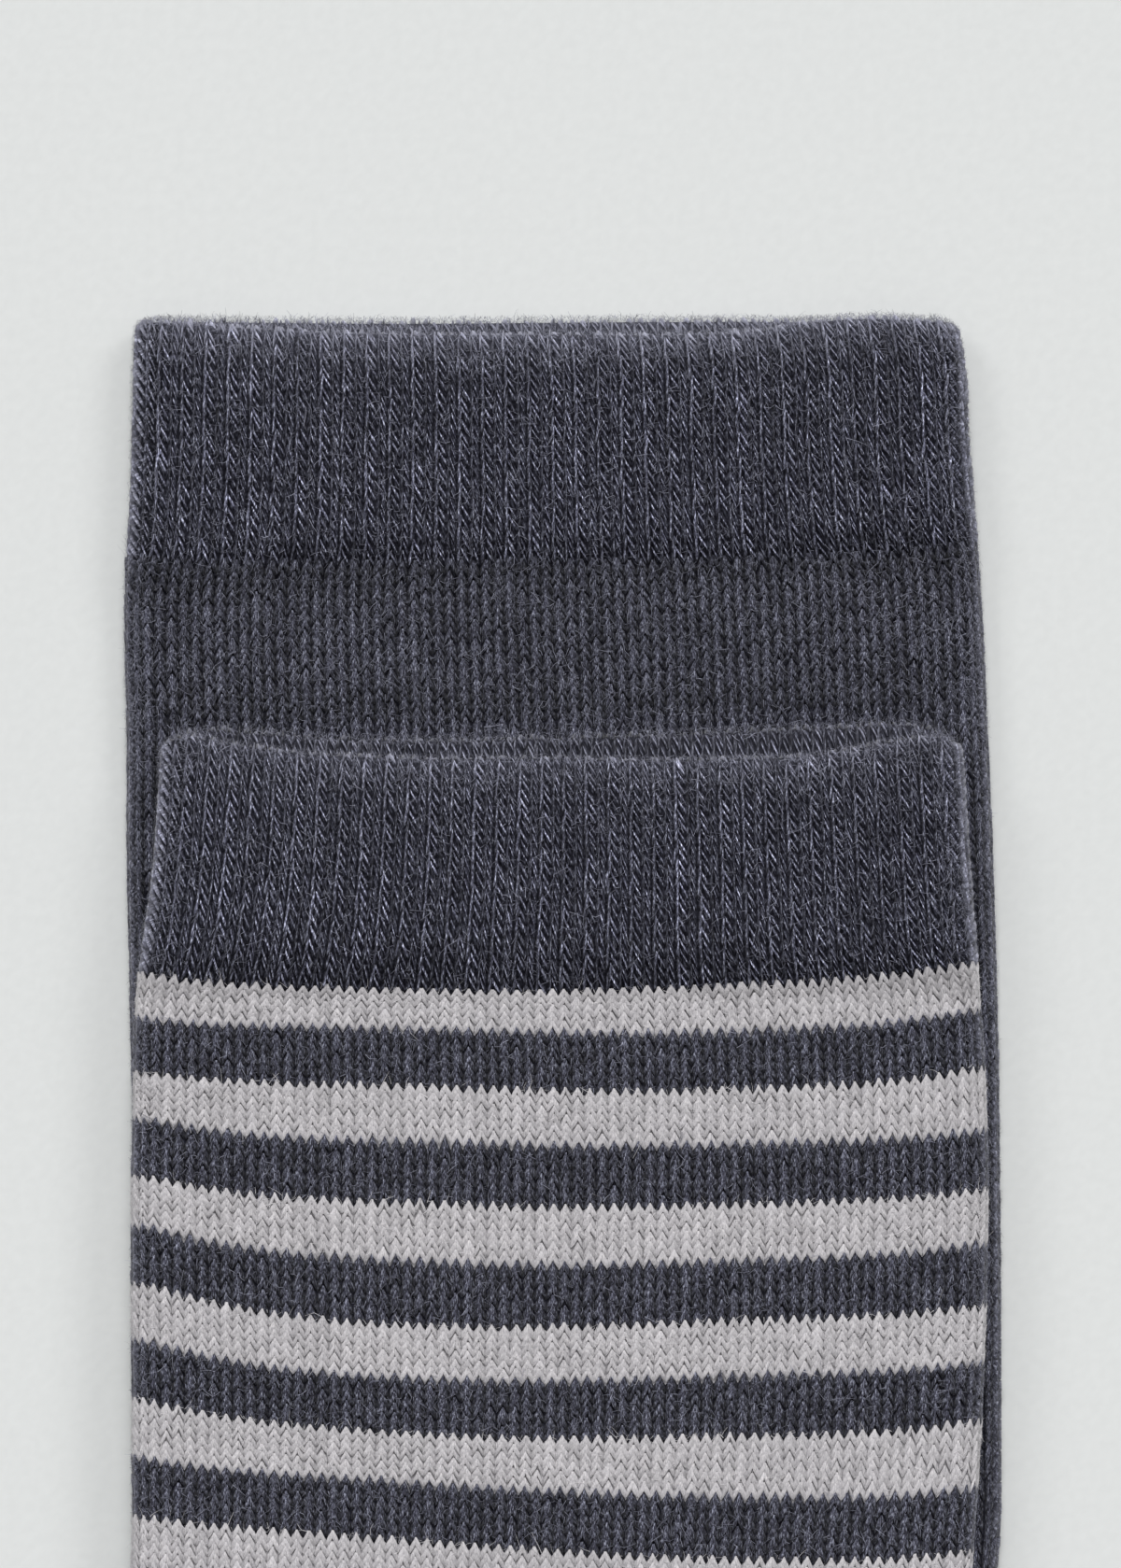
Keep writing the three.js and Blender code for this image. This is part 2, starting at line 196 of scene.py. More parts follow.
# Loose fibres
FIBRE_LINKS = 2
FIBRE_WIDTHS = (0.025, 0.055)
FIBRE_LENGTH_SPREAD = 0.4
FIBRE_LIFTS = (0.3, 1.5)
FIBRE_TURN_SPREAD = 0.9  # spread of a fibre's direction and of its curl, in radians
FIBRE_ROOT = 0.08  # height of the roots above the face
FIBRE_ARCH = (0.4, 1.9)  # start and sweep of the arch that a fibre rises in, in radians
FIBRE_TAPER = 0.6
FIBRE_HAZE = (0.1, 0.9)
FIBRE_SHADE_SPREAD = 0.2
YARN_RANGE = 60  # yarn coordinates start anywhere below this

# Colours, as display levels
# Colours of loose fibres and of the painted sheen at the rim and the folded sides
DARK_FUZZ_AND_SHEEN = (150, 151, 166)
LIGHT_FUZZ_AND_SHEEN = (214, 211, 213)
FLOOR_COLOURS = ((0.3, (224, 226, 225)), (0.7, (228, 230, 229)))

# Shades of the yarns from their darkest fibres to their lightest
DARK_YARN = (
    (0.3, (26, 26, 37)),
    (0.5, (66, 66, 79)),
    (0.63, (100, 102, 118)),
    (0.8, (160, 162, 178)),
)
LIGHT_YARN = (
    (0.2, (170, 167, 171)),
    (0.45, (192, 189, 192)),
    (0.62, (206, 203, 206)),
    (0.85, (222, 218, 218)),
)

# Painted shade of the backing between the stitches: its brightness against its yarn, in dark and in light
# rows
DARK_BACKING = 0.5
LIGHT_BACKING = 1.05

# Camera and light
PHOTO_TALL = 167.9  # height of the cloth that the photo takes in
CAMERA_HEIGHT = 800
SENSOR = 36
CLIP = (0.05, 10)  # nearest and furthest distance that the camera sees, in metres
CLOTH_HEIGHT = 6  # height at which the photo's size holds
FLOOR_HALF = 1500
WORLD_STRENGTH = 0.24
WORLD_COLOUR = (0.985, 0.99, 1, 1)
SUN_ANGLE = 22  # degrees

# Name, azimuth and elevation in degrees, and strength
SUNS = (
    ("low_key", 90, 34, 1.45),
    ("high_key", 90, 65, 0.92),
    ("left_key", 135, 35, 0.55),
    ("right_key", 45, 35, 0.65),
)


def table(names, *rows):
    """Named columns of numbers as arrays."""
    return {name: np.array(values, float) for name, values in zip(names, zip(*rows))}


WIDTH_NAMES = ("along", "front", "back")
EDGE_NAMES = ("across", "back", "front")
FOLD_NAMES = ("along", "across", "heading", "length", "width", "height")
ROW_NAMES = ("row", "middle", "tilt", "sag", "swing")

ANKLE_AND_FOOT = [
    (LEG_LENGTH + past, front, back)
    for past, front, back in (
        (-12, 45.8, 46.4),
        (0, 45.6, 46.6),
        (13, 45.2, 50.5),
        (25, 44.4, 57.5),
        (37, 43.8, 60.5),
        (50, 43.6, 56.5),
        (65, 43.6, 47.5),
        (87, 43.2, 42.4),
        (130, 42.6, 41.4),
        (170, 42.6, 42.2),
        (197, 42.6, 42.6),
    )
]

# Where rows lie: the length from the mouth at the middle of the face, the right end's lag behind it,
# the sag of the middle below both ends and an S-shaped swing
ROWS_PAST_LEG = [
    (LEG_ROWS, LEG_LENGTH, 0, 1.5, 0),
    (LEG_ROWS + ANKLE_ROWS, LEG_LENGTH + ANKLE_LENGTH, 0, 1.2, 0),
    (TOE_ROW, SEAM_PLACE, 0, 0.6, 0),
    (LAST_ROW, SOCK_LENGTH, 0, 0, 0),
]

# A sock's mouth is the place of its middle, and its spine has the length and the degrees of each arc.
# Its rim fuzz and painted sheen is their amount at the rim, their reach down the face and their amount
# inside the mouth, and its rim's painted shade is how much darker the rim's stitches are painted where
# the rounding catches the light. The upper sock lies on it from covered_from on,
# and the toe seam goes from the instep side to seam_end.
PLAIN = SimpleNamespace(
    node="plain_sock",
    slot="plain_knit",
    mouth=(-1.5, 49.95),
    heading=0,
    spine=[
        (15, -1.5),
        (45, 0),
        (LEG_LENGTH - 60, 1.4),
        (ANKLE_LENGTH, ANKLE_TURN),
        (FOOT_LENGTH + TOE_LENGTH, 0),
    ],
    widths=table(
        WIDTH_NAMES,
        (0, 44.2, 44.1),
        (6, 44.5, 45.0),
        (12, 44.7, 45.1),
        (18, 45.1, 45.4),
        (30, 45.9, 46.0),
        (42, 46.0, 46.3),
        (62, 46.4, 46.6),
        (95, 46.2, 46.6),
        *ANKLE_AND_FOOT,
    ),
    mouth_edge=table(
        EDGE_NAMES,
        (-1, 0.4, 0.5),
        (-0.96, 0.1, 0.3),
        (-0.7, 0.1, 1.0),
        (-0.4, 0.2, 1.5),
        (0, 0.1, 1.6),
        (0.5, 0, 1.4),
        (0.68, 0.1, 0.2),
        (0.95, 0.2, 0.2),
        (1, 0.8, 0.8),
    ),
    folds=table(
        FOLD_NAMES,
        (37, -8, 70, 16, 4, -0.4),
        (33, 22, 84, 18, 5, 0.3),
        (12, -24, 20, 12, 9, 0.25),
        (38, 19, 86, 26, 4, -0.4),
    ),
    rows=table(ROW_NAMES, (0, 25.9, 0.5, 0.5, 0), (30, 57, 0, 1.4, 0), *ROWS_PAST_LEG),
    cuff_end=24.9,
    puff=(0.2, 0.25),
    rim_fuzz_and_sheen=(1.1, 1.9, 0.8),
    rim_painted_shade=0.25,
    covered_from=43,
    seam_end=-31,
    striped=False,
    seed=11,
)

STRIPED = SimpleNamespace(
    node="striped_sock",
    slot="striped_knit",
    mouth=(0.2, 5.5),
    heading=0.1,
    spine=[(38, 0), (LEG_LENGTH - 38, 4.2), (ANKLE_LENGTH, ANKLE_TURN), (FOOT_LENGTH + TOE_LENGTH, 0)],
    widths=table(
        WIDTH_NAMES,
        (0, 42.9, 42.7),
        (8, 43.4, 43.2),
        (17, 44.1, 43.8),
        (27, 45.4, 44.6),
        (40, 45.8, 45.4),
        (55, 45.9, 45.6),
        (76, 45.4, 45.3),
        (95, 45.0, 44.9),
        *ANKLE_AND_FOOT,
    ),
    mouth_edge=table(
        EDGE_NAMES,
        (-1, 1.0, 1.0),
        (-0.95, -0.6, 0.6),
        (-0.8, -0.6, 1.6),
        (-0.5, 0.1, 2.7),
        (-0.1, 0, 2.8),
        (0.5, -0.9, 2.8),
        (0.72, -1.3, 1.9),
        (0.94, -1.2, 0.4),
        (1, 1.0, 1.0),
    ),
    folds=table(
        FOLD_NAMES,
        (82, -4, 55, 17, 6, 0.5),
        (92, 4, 62, 15, 5, -0.35),
        (157, -26, 78, 16, 5, -0.4),
        (172, -25, 90, 17, 5, 0.45),
        (186, -27, 102, 14, 4.5, -0.35),
        (178, 34, 80, 18, 13, 0.9),
        (247, 6, 66, 22, 6, 0.4),
        (315, -6, 8, 20, 8, 0.35),
    ),
    rows=table(
        ROW_NAMES,
        (0, 27.4, -0.6, 1.6, 0),
        (5, 31.7, 0.5, 1.2, -1.0),
        (11, 38.0, 0.6, 1.5, -0.9),
        (17, 43.8, 0, 1.5, 0.4),
        (23, 50.4, -0.5, 1.8, 0.8),
        (29, 56.5, -0.7, 2.3, 1.0),
        (35, 63.2, -1.4, 2.5, 1.8),
        (41, 69.0, -1.2, 2.4, 1.4),
        (47, 75.2, -0.8, 2.3, 0.8),
        (53, 80.8, 0.5, 1.3, -0.3),
        (59, 87.2, 1.1, 1.1, -0.8),
        *ROWS_PAST_LEG,
    ),
    cuff_end=24.4,
    puff=(-0.35, 0.3),
    rim_fuzz_and_sheen=(0.4, 3.2, 0.25),
    rim_painted_shade=0.6,
    covered_from=2 * SOCK_LENGTH,
    seam_end=0,
    striped=True,
    seed=23,
)


# Form of the cloth


def smoothstep(x, low, high):
    t = np.clip((x - low) / (high - low), 0, 1)
    return t * t * (3 - 2 * t)


def read(rows, key, column, place):
    """A column of a table at some places, on a smooth curve through its rows."""
    x, y = rows[key], rows[column]
    slope = np.empty_like(y)
    slope[1:-1] = (y[2:] - y[:-2]) / (x[2:] - x[:-2])
    slope[0] = (y[1] - y[0]) / (x[1] - x[0])
    slope[-1] = (y[-1] - y[-2]) / (x[-1] - x[-2])
    after = np.clip(np.searchsorted(x, place, side="right"), 1, len(x) - 1)
    before = after - 1
    span = x[after] - x[before]
    t = np.clip((place - x[before]) / span, 0, 1)
    start = y[before] + slope[before] * span * t
    end = y[after] - slope[after] * span * (1 - t)
    return start + (end - start) * t * t * (3 - 2 * t)


def spine_at(sock, along):
    """The middle of the tube and its heading, as a chain of arcs."""
    x = np.full(along.shape, float(sock.mouth[0]))
    y = np.full(along.shape, float(sock.mouth[1]))
    heading = np.full(along.shape, math.radians(sock.heading))
    left = along.astype(float).copy()
    for length, turn in sock.spine:
        part = np.minimum(left, length)
        bend = math.radians(turn) * part / length
        chord = part * np.sinc(bend / (2 * math.pi))
        x -= chord * np.sin(heading + bend / 2)
        y -= chord * np.cos(heading + bend / 2)
        heading += bend
        left -= part
    return x, y, heading


def plan_point(sock, along, across):
    x, y, heading = spine_at(sock, along)
    return x + across * np.cos(heading), y - across * np.sin(heading)


def wall_at(sock, along):
    starts = sock.cuff_end - CUFF_STEP / 3
    return CUFF_WALL + (LEG_WALL - CUFF_WALL) * smoothstep(along, starts, starts + CUFF_STEP)


def relief_at(sock, along, across):
    """Height of the soft ridges and troughs of the upper face."""
    height = np.zeros(along.shape)
    folds = sock.folds
    for i in range(len(folds["along"])):
        heading = math.radians(folds["heading"][i])
        down = along - folds["along"][i]
        aside = across - folds["across"][i]
        lengthwise = down * math.cos(heading) + aside * math.sin(heading)
        crosswise = aside * math.cos(heading) - down * math.sin(heading)
        spread = (lengthwise / folds["length"][i]) ** 2 + (crosswise / folds["width"][i]) ** 2
        height += folds["height"][i] * np.exp(-spread)
    return height * (1 - smoothstep(along, sock.covered_from - PRESS_LENGTH, sock.covered_from))


def toe_seam_at(sock, along, across):
    offset = np.abs(along - SEAM_PLACE)
    run_out = 1 - smoothstep(across, sock.seam_end - SEAM_FADE, sock.seam_end + SEAM_FADE)
    return SEAM_HEIGHT * np.maximum(0, 1 - offset / SEAM_WIDTH) * run_out


def mouth_shift(sock, along, across, lift):
    """Shift of the mouth's edge. A sock's puff is how far its back and front rims stand past the solid's."""
    reach = np.maximum(0, 1 - along / MOUTH_REACH) ** 2
    back = read(sock.mouth_edge, "across", "back", across) - sock.puff[0]
    front = read(sock.mouth_edge, "across", "front", across) - sock.puff[1]
    return reach * (back + (front - back) * lift)


def stadium(front, back, half, turn):
    """A point of a flat section with half-round sides: distance across and rise."""
    part = turn % 1
    outward = half * np.sin(math.pi * part)
    upward = half * np.cos(math.pi * part)
    flat = front + back - 2 * half
    side = np.clip(turn.astype(int), 0, 3)
    across = np.choose(
        side,
        [
            half - front + flat * part,
            back - half + outward,
            back - half - flat * part,
            half - front - outward,
        ],
    )
    rise = np.choose(side, [half, upward, -half, -upward])
    return across, rise


def distance_outside(outline, x, y):
    """How far plan points lie outside a closed outline; 0 inside it."""
    inside = np.zeros(x.shape, bool)
    nearest = np.full(x.shape, np.inf)
    for (ax, ay), (bx, by) in zip(outline, np.roll(outline, -1, axis=0)):
        ex, ey = bx - ax, by - ay
        t = np.clip(((x - ax) * ex + (y - ay) * ey) / (ex * ex + ey * ey), 0, 1)
        nearest = np.minimum(nearest, np.hypot(x - ax - t * ex, y - ay - t * ey))
        if ay != by:
            inside ^= ((ay > y) != (by > y)) & (x < ax + (y - ay) / (by - ay) * ex)
    return np.where(inside, 0, nearest)


def plan_outline(sock):
    """The outline of a sock from above, down its instep side and back up its heel side."""
    leg = np.arange(CUFF_LENGTH + CUFF_STEP, TOE_START, 7)
    toe = TOE_START + TOE_LENGTH * np.sin(np.linspace(0, math.pi / 2, 12))[:-1]
    along = np.concatenate([[0], leg, toe, [SOCK_LENGTH - TOE_TIP]])
    close = np.sqrt(1 - (np.maximum(along - TOE_START, 0) / TOE_LENGTH) ** 2)
    front = plan_point(sock, along, -close * read(sock.widths, "along", "front", along))
    back = plan_point(sock, along, close * read(sock.widths, "along", "back", along))
    return np.concatenate([np.stack(front, axis=1), np.stack(back, axis=1)[::-1]])


PLAIN_OUTLINE = plan_outline(PLAIN)
STRIPED_OUTLINE = plan_outline(STRIPED)


def ground_at(sock, x, y):
    """The surface that a sock lies on: the plane, or the lower sock's upper face."""
    if sock is PLAIN:
        return np.zeros(x.shape)
    top = 2 * LEG_WALL + INNER_GAP + CLEARANCE
    return top * (1 - smoothstep(distance_outside(PLAIN_OUTLINE, x, y), DRAPE_STARTS, DRAPE_ENDS))


def section_sizes(sock, along, depth):
    """Half widths, half height and middle height of the section at a length and depth."""
    shrink = (TOE_LENGTH - depth) / TOE_LENGTH
    place = np.clip((along - TOE_START) / shrink, 0, TOE_LENGTH - TOE_TIP)
    close_width = np.sqrt(1 - (place / TOE_LENGTH) ** 2)
    from_tip = np.minimum(1, (TOE_LENGTH - place) / TOE_EDGE)
    close_height = np.sqrt(1 - (1 - from_tip) ** 2)
    middle = wall_at(sock, along) + INNER_GAP / 2
    half = (middle - depth) * close_height
    front = (read(sock.widths, "along", "front", along) - depth) * close_width
    back = (read(sock.widths, "along", "back", along) - depth) * close_width
    return front, back, half, middle


def skin(sock, along, turn, depth):
    """Points of a sock's cloth, by length, turn round the section and depth below the outer face."""
    along = np.minimum(along, SOCK_LENGTH - TOE_TIP)
    front, back, half, middle = section_sizes(sock, along, depth)
    across, rise = stadium(front, back, half, turn)
    lift = np.clip((rise / half + 1) / 2, 0, 1)
    side = np.clip(np.where(across < 0, across / front, across / back), -1, 1)
    x, y = plan_point(sock, along + mouth_shift(sock, along, side, lift), across)
    seam = np.where(depth < LEG_WALL / 2, toe_seam_at(sock, along, across), 0)
    relief = relief_at(sock, along, across) + seam
    relief -= MOUTH_DROOP * np.maximum(0, 1 - along / DROOP_LENGTH) ** 2
    relief -= PRESS_DEPTH * np.exp(-(((along - sock.covered_from) / PRESS_REACH) ** 2))
    z = ground_at(sock, x, y) + middle + rise + lift * relief * (1 - side**RELIEF_EDGE)
    return np.stack([x, y, z], axis=-1)


def fold_over(reach, sunk):
    """Length and depth of a place on the cloth, by its distance from the crest of the mouth's rim.
    Negative reaches are inside the sock. Sunk is how far the place lies inside the wall."""
    radius = CUFF_WALL / 2
    quarter = radius * math.pi / 2
    angle = np.clip(math.pi / 2 - reach / radius, 0, math.pi)
    along = radius - (radius - sunk) * np.sin(angle) + np.maximum(np.abs(reach) - quarter, 0)
    depth = radius - (radius - sunk) * np.cos(angle)
    return along, depth


# Rows and columns of the knit


def turn_at(column):
    return np.interp(column % COLUMNS, COLUMN_CORNERS, range(5))


def share_at(column):
    """Place across the face or the underside, from -1 on the instep side to 1 on the heel side."""
    return np.interp(column % COLUMNS, COLUMN_CORNERS, (-1, 1, 1, -1, -1))


def row_line(sock, row, share):
    """Length from the mouth at which a row of the leg or foot crosses a place on the face."""
    middle, tilt, sag, swing = (read(sock.rows, "row", name, row) for name in ROW_NAMES[1:])
    return middle + tilt * share - sag * share**2 + swing * share**3 - SIDE_CURL * share**8


def cloth_place(sock, column, row, sunk=0):
    """Length and depth of a place on the knit. Rows above the mouth's rim are inside the sock."""
    share = share_at(column)
    past_rim = row_line(sock, np.maximum(row, 0), share) + RIM_TURN
    reach = past_rim * np.clip(1 + row / CUFF_ROWS, 0, 1)
    reach = np.where(row < -CUFF_ROWS, (row + CUFF_ROWS) * CUFF_ROW, reach)
    return fold_over(reach, sunk)


def wave(x, y, seed, length):
    """A smooth, seeded unevenness between about -1 and 1, with waves of about one length."""
    random = np.random.default_rng(seed)
    total = np.zeros(np.broadcast(x, y).shape)
    for _ in range(7):
        angle = random.uniform(0, math.tau)
        step = math.tau / (length * random.uniform(0.7, 1.6))
        total += np.sin((x * math.cos(angle) + y * math.sin(angle)) * step + random.uniform(0, math.tau))
    return total / 4


def columns_round(face, side):
    """Columns all round the tube, from those over a face and a folded side."""
    half = np.concatenate([face, FACE_COLUMNS + side])
    return np.concatenate([half, HALF_COLUMNS + half])


class Lattice:
    """Points and normals of a sock's outer face over its columns and rows of stitches."""

    def __init__(self, sock):
        round_tube = columns_round(np.arange(0, FACE_COLUMNS, 0.5), np.arange(0, SIDE_COLUMNS, 0.25))
        self.columns = np.append(round_tube, COLUMNS)
        inside = np.arange(-3 * RIM_ROWS, -RIM_ROWS) - CUFF_ROWS
        rim = np.arange(-RIM_ROWS, RIM_ROWS, 0.2) - CUFF_ROWS
        self.rows = np.concatenate([inside, rim, np.arange(RIM_ROWS - CUFF_ROWS, LAST_ROW)])
        column, row = np.meshgrid(self.columns, self.rows, indexing="ij")
        along, depth = cloth_place(sock, column, row)
        uneven = wave(column * COLUMN, along, sock.seed, ROW_WAVE_LENGTH)
        along = along + ROW_WAVE * uneven * smoothstep(along, ROW_WAVE_STARTS, ROW_WAVE_FULL)
        self.points = skin(sock, along, turn_at(column), depth)
        normal = np.cross(np.gradient(self.points, axis=1), np.gradient(self.points, axis=0))
        self.normals = normal / np.maximum(np.linalg.norm(normal, axis=-1, keepdims=True), 1e-9)

    def at(self, column, row, rise):
        """Points over the face, by column, row and height above the face."""
        i = np.interp(column % COLUMNS, self.columns, np.arange(len(self.columns)))
        j = np.interp(row, self.rows, np.arange(len(self.rows)))
        i0 = np.minimum(i.astype(int), len(self.columns) - 2)
        j0 = np.minimum(j.astype(int), len(self.rows) - 2)
        s, t = (i - i0)[..., None], (j - j0)[..., None]

        def blend(grid):
            near = grid[i0, j0] * (1 - s) + grid[i0 + 1, j0] * s
            far = grid[i0, j0 + 1] * (1 - s) + grid[i0 + 1, j0 + 1] * s
            return near * (1 - t) + far * t

        return blend(self.points) + blend(self.normals) * np.asarray(rise)[..., None]


def layout_shift():
    """Moves the layout to the place where the solids lie."""
    along, turn = np.meshgrid(np.linspace(0, SOCK_LENGTH, 800), np.linspace(0, 4, 81), indexing="ij")
    points = skin(PLAIN, along, turn % 4, np.zeros(along.shape)).reshape(-1, 3)
    low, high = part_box(PLAIN.node)
    shift = [(low[i] + high[i]) / 2 - MM * (points[:, i].min() + points[:, i].max()) / 2 for i in range(2)]
    return np.array(shift + [0.0])


SHIFT = layout_shift()


def in_frame(points):
    return points * MM + SHIFT


# Meshes


def make_mesh(name, points, faces, material, uv=None, uv_name="Knit", tone=None):
    """A mesh object from arrays. Each item of faces is (count, corners); uv and tone are one row a point."""
    mesh = bpy.data.meshes.new(name)
    mesh.vertices.add(len(points))
    mesh.vertices.foreach_set("co", np.ascontiguousarray(points, np.float32).ravel())
    sizes = np.concatenate([np.full(len(f), f.shape[1]) for f in faces])
    corners = np.concatenate([f.ravel() for f in faces])
    mesh.loops.add(len(corners))
    mesh.loops.foreach_set("vertex_index", corners.astype(np.int32))
    mesh.polygons.add(len(sizes))
    mesh.polygons.foreach_set("loop_start", np.concatenate([[0], np.cumsum(sizes)[:-1]]).astype(np.int32))
    mesh.update(calc_edges=True)
    mesh.polygons.foreach_set("use_smooth", np.ones(len(sizes), bool))
    if uv is not None:
        layer = mesh.uv_layers.new(name=uv_name)
        layer.data.foreach_set("uv", uv[corners].astype(np.float32).ravel())
    if tone is not None:
        colour = mesh.color_attributes.new(name="Tone", type="FLOAT_COLOR", domain="POINT")
        rgba = np.concatenate([tone, np.ones((len(tone), 1))], axis=1)
        colour.data.foreach_set("color", rgba.astype(np.float32).ravel())
    mesh.materials.append(material)
    piece = bpy.data.objects.new(name, mesh)
    bpy.context.scene.collection.objects.link(piece)
    return piece


def dress(piece, node=None):
    """Makes a piece ride with the part, and hides the part's solid when a node is given."""
    if node:
        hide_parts(node)
    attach(piece, "root")
    return piece


def in_heel(column, row):
    """Whether a place on the knit is in the heel pocket, on the heel half of the ankle."""
    column = column % COLUMNS
    on_heel_side = (column >= HEEL_COLUMN) & (column < HEEL_COLUMN + HALF_COLUMNS)
    return on_heel_side & (row >= LEG_ROWS) & (row < LEG_ROWS + ANKLE_ROWS)


def is_light(sock, column, row):
    """1 on a light stripe of the striped sock and 0 elsewhere."""
    past = row - FIRST_STRIPE_ROWS
    striped = (past < 0) | (np.floor(past / STRIPE_ROWS) % 2 == 1)
    dyed = (row >= 0) & (row < TOE_ROW) & ~in_heel(column, row)
    return np.where(striped & dyed & sock.striped, 1.0, 0.0)


def make_backing(sock, material):
    """The cloth behind the stitches: one closed skin with an outer face, a rolled rim and an inner face.
    Its rows lie closer together at the rim, the cuff's end and the toe's curve."""
    columns = columns_round(
        np.linspace(0, FACE_COLUMNS, FACE_STEPS, endpoint=False),
        np.linspace(0, SIDE_COLUMNS, SIDE_STEPS, endpoint=False),
    )
    toe = TOE_LENGTH * np.sin(np.linspace(0, math.pi / 2, TOE_STEPS))[1:-1]
    curve_row = LAST_ROW - TOE_LENGTH / ROW
    cuff = np.append(np.arange(2.5 - CUFF_ROWS, -3, 2.1), np.arange(-3, 4, 0.5))
    outer = np.concatenate([cuff, np.arange(4, curve_row, 3), curve_row + toe / ROW, [LAST_ROW - 0.8]])
    rim = np.linspace(2.5, -RIM_ROWS, RIM_STEPS)[1:-1] - CUFF_ROWS
    inner_reach = np.concatenate([np.arange(4.2, TOE_START, INNER_STEP), TOE_START + toe[::3]])
    rows = np.concatenate([outer[::-1], rim, -CUFF_ROWS - inner_reach / CUFF_ROW])
    row, column = np.meshgrid(rows, columns, indexing="ij")
    along, depth = cloth_place(sock, column, row, BACKING_DEPTH)
    inner_wall = np.where(along > CUFF_LENGTH, LEG_WALL, CUFF_WALL - BACKING_DEPTH)
    depth = np.where(row < -RIM_ROWS - CUFF_ROWS, inner_wall, depth)
    points = skin(sock, along, turn_at(column), depth)
    rings, around = points.shape[:2]
    grid = np.arange(rings * around).reshape(rings, around)
    following = np.roll(grid, -1, axis=1)
    quads = np.stack([grid[:-1], following[:-1], following[1:], grid[1:]], axis=-1).reshape(-1, 4)
    tips = np.stack([points[0].mean(axis=0), points[-1].mean(axis=0)])
    first = np.stack([following[0], grid[0], np.full(around, grid.size)], axis=-1)
    last = np.stack([grid[-1], following[-1], np.full(around, grid.size + 1)], axis=-1)
    uv = np.stack([column, row], axis=-1).reshape(-1, 2)
    dark_part = in_heel(column, row) | (row > TOE_ROW)
    # Tone: the dark heel and toe, an unused channel, and the loose fibres and painted sheen
    tone = np.stack([dark_part, 0 * row, fuzz_and_sheen_at(sock, column, row)], axis=-1).reshape(-1, 3)
    piece = make_mesh(
        f"{sock.node}_cloth",
        in_frame(np.concatenate([points.reshape(-1, 3), tips])),
        [quads, first, last],
        material,
        uv=np.concatenate([uv, np.zeros((2, 2))]),
        tone=np.concatenate([tone, np.ones((2, 3))]),
    )
    return dress(piece, sock.node)


# Stitches. Each has two legs that part from its apex, on the side of the cuff. A leg runs through
# stations to a pointed foot under the next row. A station is its place in columns and rows from the
# stitch's corner, its half width in columns and the height of its crest in millimetres.
LEFT_LEG = (
    (0.46, -0.08, 0.07, 0.06),
    (0.37, 0.38, 0.17, 0.2),
    (0.23, 0.88, 0.2, 0.12),
    (0.1, 1.32, 0.15, -0.06),
    (0.03, 1.72, 0, -0.45),
)
RIGHT_LEG = (
    (0.51, -0.08, 0.07, 0.02),
    (0.61, 0.36, 0.17, 0.12),
    (0.78, 0.85, 0.19, 0.04),
    (0.91, 1.28, 0.14, -0.12),
    (0.97, 1.65, 0, -0.45),
)
FINE_LEGS = (LEFT_LEG, RIGHT_LEG)
COARSE_LEGS = tuple((leg[0], leg[2], leg[-1]) for leg in FINE_LEGS)


def leg_faces(stations):
    """Number of points of a leg, and its quads and triangles."""
    foot = 3 * (stations - 1)
    quads = [(i + k, i + 3 + k, i + 4 + k, i + 1 + k) for i in range(0, foot - 3, 3) for k in range(2)]
    return foot + 1, np.array(quads), np.array([(foot - 3, foot, foot - 2), (foot - 2, foot, foot - 1)])


def fuzz_and_sheen_at(sock, column, row):
    """How far loose fibres and painted sheen cover the stitches: most along the mouth's rim and the folded
    sides.
    """
    peak, reach, inner = sock.rim_fuzz_and_sheen
    from_rim = np.maximum(row + CUFF_ROWS, 0) * CUFF_ROW
    rim = np.where(row > -CUFF_ROWS, peak * np.exp(-from_rim / reach), inner)
    half = HALF_COLUMNS
    from_fold = np.abs((column + SIDE_COLUMNS / 2 + half / 2) % half - half / 2)
    return np.maximum(rim, SIDE_FUZZ_AND_SHEEN * np.exp(-((from_fold / SIDE_REACH) ** 2)))


